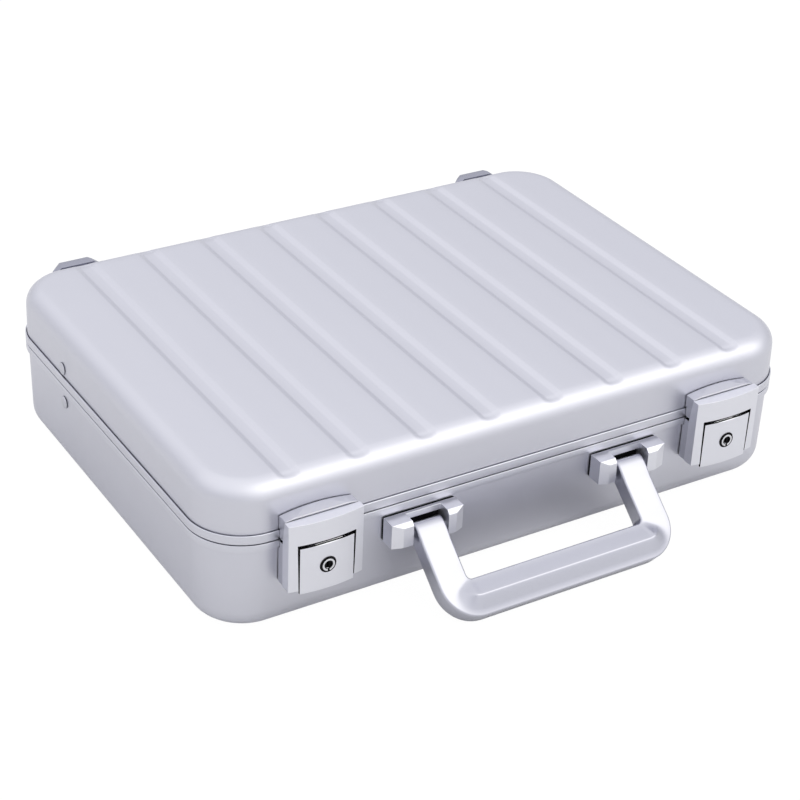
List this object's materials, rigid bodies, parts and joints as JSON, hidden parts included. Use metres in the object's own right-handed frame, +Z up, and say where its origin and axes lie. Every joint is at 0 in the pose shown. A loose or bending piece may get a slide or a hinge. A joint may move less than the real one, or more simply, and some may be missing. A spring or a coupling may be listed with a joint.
{
  "type": "attache case",
  "caption": "Hard aluminium attache case with rounded corners, a grooved hinged lid, two key latches and a swinging carrying handle on the front.",
  "frame": {"origin": "centre of the flat underside of the base", "axes": "+Z up through the lid, +X along the width with the case seen from its front, front with handle and latches toward -Y"},
  "size_m": [0.456, 0.4029, 0.1096],
  "materials": {
    "anodised_shell": "satin anodised aluminium with a faint cool tint",
    "frame_band": "satin extruded aluminium with bright edges",
    "cast_silver": "smooth satin silver die casting",
    "bright_steel": "bright plated steel",
    "spring_steel": "plain drawn spring steel",
    "gasket": "black moulded rubber",
    "lining": "dark grey flock cloth over board",
    "pocket": "dark grey woven cloth"
  },
  "bodies": {
    "base": {"base_shell": "anodised_shell", "base_frame": "frame_band", "base_lining": "lining", "handle_gasket_left": "gasket", "handle_gasket_right": "gasket", "handle_bracket_left": "cast_silver", "handle_bracket_right": "cast_silver", "handle_pin_left": "bright_steel", "handle_pin_right": "bright_steel", "latch_housing_left": "cast_silver", "latch_housing_right": "cast_silver", "latch_pin_left": "bright_steel", "latch_pin_right": "bright_steel", "latch_spring_left": "spring_steel", "latch_spring_right": "spring_steel", "hinge_base_left": "cast_silver", "hinge_base_right": "cast_silver", "hinge_pin_left": "bright_steel", "hinge_pin_right": "bright_steel", "stay_rivet_base_left": "bright_steel", "stay_rivet_base_right": "bright_steel"},
    "lid": {"lid_shell": "anodised_shell", "lid_frame": "frame_band", "lid_lining": "lining", "document_pocket": "pocket", "latch_keeper_left": "cast_silver", "latch_keeper_right": "cast_silver", "latch_hasp_left": "cast_silver", "latch_hasp_right": "cast_silver", "hinge_lid_left": "cast_silver", "hinge_lid_right": "cast_silver", "stay_rivet_lid_left": "bright_steel", "stay_rivet_lid_right": "bright_steel"},
    "handle": {"handle": "cast_silver"},
    "flap_left": {"latch_flap_left": "cast_silver", "latch_hook_left": "bright_steel", "lock_seal_left": "gasket", "lock_barrel_left": "bright_steel"},
    "key_left": {"key_plug_left": "spring_steel", "lock_cam_left": "bright_steel"},
    "stay_base_left": {"stay_arm_base_left": "bright_steel", "stay_pin_left": "bright_steel"},
    "stay_lid_left": {"stay_arm_lid_left": "bright_steel"},
    "flap_right": {"latch_flap_right": "cast_silver", "latch_hook_right": "bright_steel", "lock_seal_right": "gasket", "lock_barrel_right": "bright_steel"},
    "key_right": {"key_plug_right": "spring_steel", "lock_cam_right": "bright_steel"},
    "stay_base_right": {"stay_arm_base_right": "bright_steel", "stay_pin_right": "bright_steel"},
    "stay_lid_right": {"stay_arm_lid_right": "bright_steel"}
  },
  "joints": [
    {"name": "lid_hinge", "type": "hinge", "parent": "base", "child": "lid", "pos_m": [0, 0.172, 0.0685], "axis": [-1, 0, 0], "range_deg": [0, 100]},
    {"name": "handle_swing", "type": "hinge", "parent": "base", "child": "handle", "pos_m": [0, -0.1716, 0.0465], "axis": [-1, 0, 0], "range_deg": [0, 40]},
    {"name": "flap_swing_left", "type": "hinge", "parent": "base", "child": "flap_left", "pos_m": [-0.1575, -0.1776, 0.0655], "axis": [-1, 0, 0], "range_deg": [0, 40], "stiffness_Nm_per_rad": 0.02},
    {"name": "key_turn_left", "type": "hinge", "parent": "flap_left", "child": "key_left", "pos_m": [-0.1575, -0.178, 0.0516], "axis": [0, -1, 0], "range_deg": [0, 90]},
    {"name": "stay_base_swing_left", "type": "hinge", "parent": "base", "child": "stay_base_left", "pos_m": [-0.2182, 0.07, 0.0535], "axis": [-1, 0, 0], "range_deg": [0, 100]},
    {"name": "stay_lid_swing_left", "type": "hinge", "parent": "lid", "child": "stay_lid_left", "pos_m": [-0.2158, 0.06964, 0.0808], "axis": [-1, 0, 0], "range_deg": [-100, 0]},
    {"name": "flap_swing_right", "type": "hinge", "parent": "base", "child": "flap_right", "pos_m": [0.1575, -0.1776, 0.0655], "axis": [-1, 0, 0], "range_deg": [0, 40], "stiffness_Nm_per_rad": 0.02},
    {"name": "key_turn_right", "type": "hinge", "parent": "flap_right", "child": "key_right", "pos_m": [0.1575, -0.178, 0.0516], "axis": [0, 1, 0], "range_deg": [0, 90]},
    {"name": "stay_base_swing_right", "type": "hinge", "parent": "base", "child": "stay_base_right", "pos_m": [0.2182, 0.07, 0.0535], "axis": [-1, 0, 0], "range_deg": [0, 100]},
    {"name": "stay_lid_swing_right", "type": "hinge", "parent": "lid", "child": "stay_lid_right", "pos_m": [0.2158, 0.06964, 0.0808], "axis": [-1, 0, 0], "range_deg": [-100, 0]}
  ],
  "couplings": [
    {"joint": "stay_base_swing_left", "follows": "lid_hinge", "ratio": 1},
    {"joint": "stay_lid_swing_left", "follows": "lid_hinge", "ratio": -1},
    {"joint": "stay_base_swing_right", "follows": "lid_hinge", "ratio": 1},
    {"joint": "stay_lid_swing_right", "follows": "lid_hinge", "ratio": -1}
  ]
}
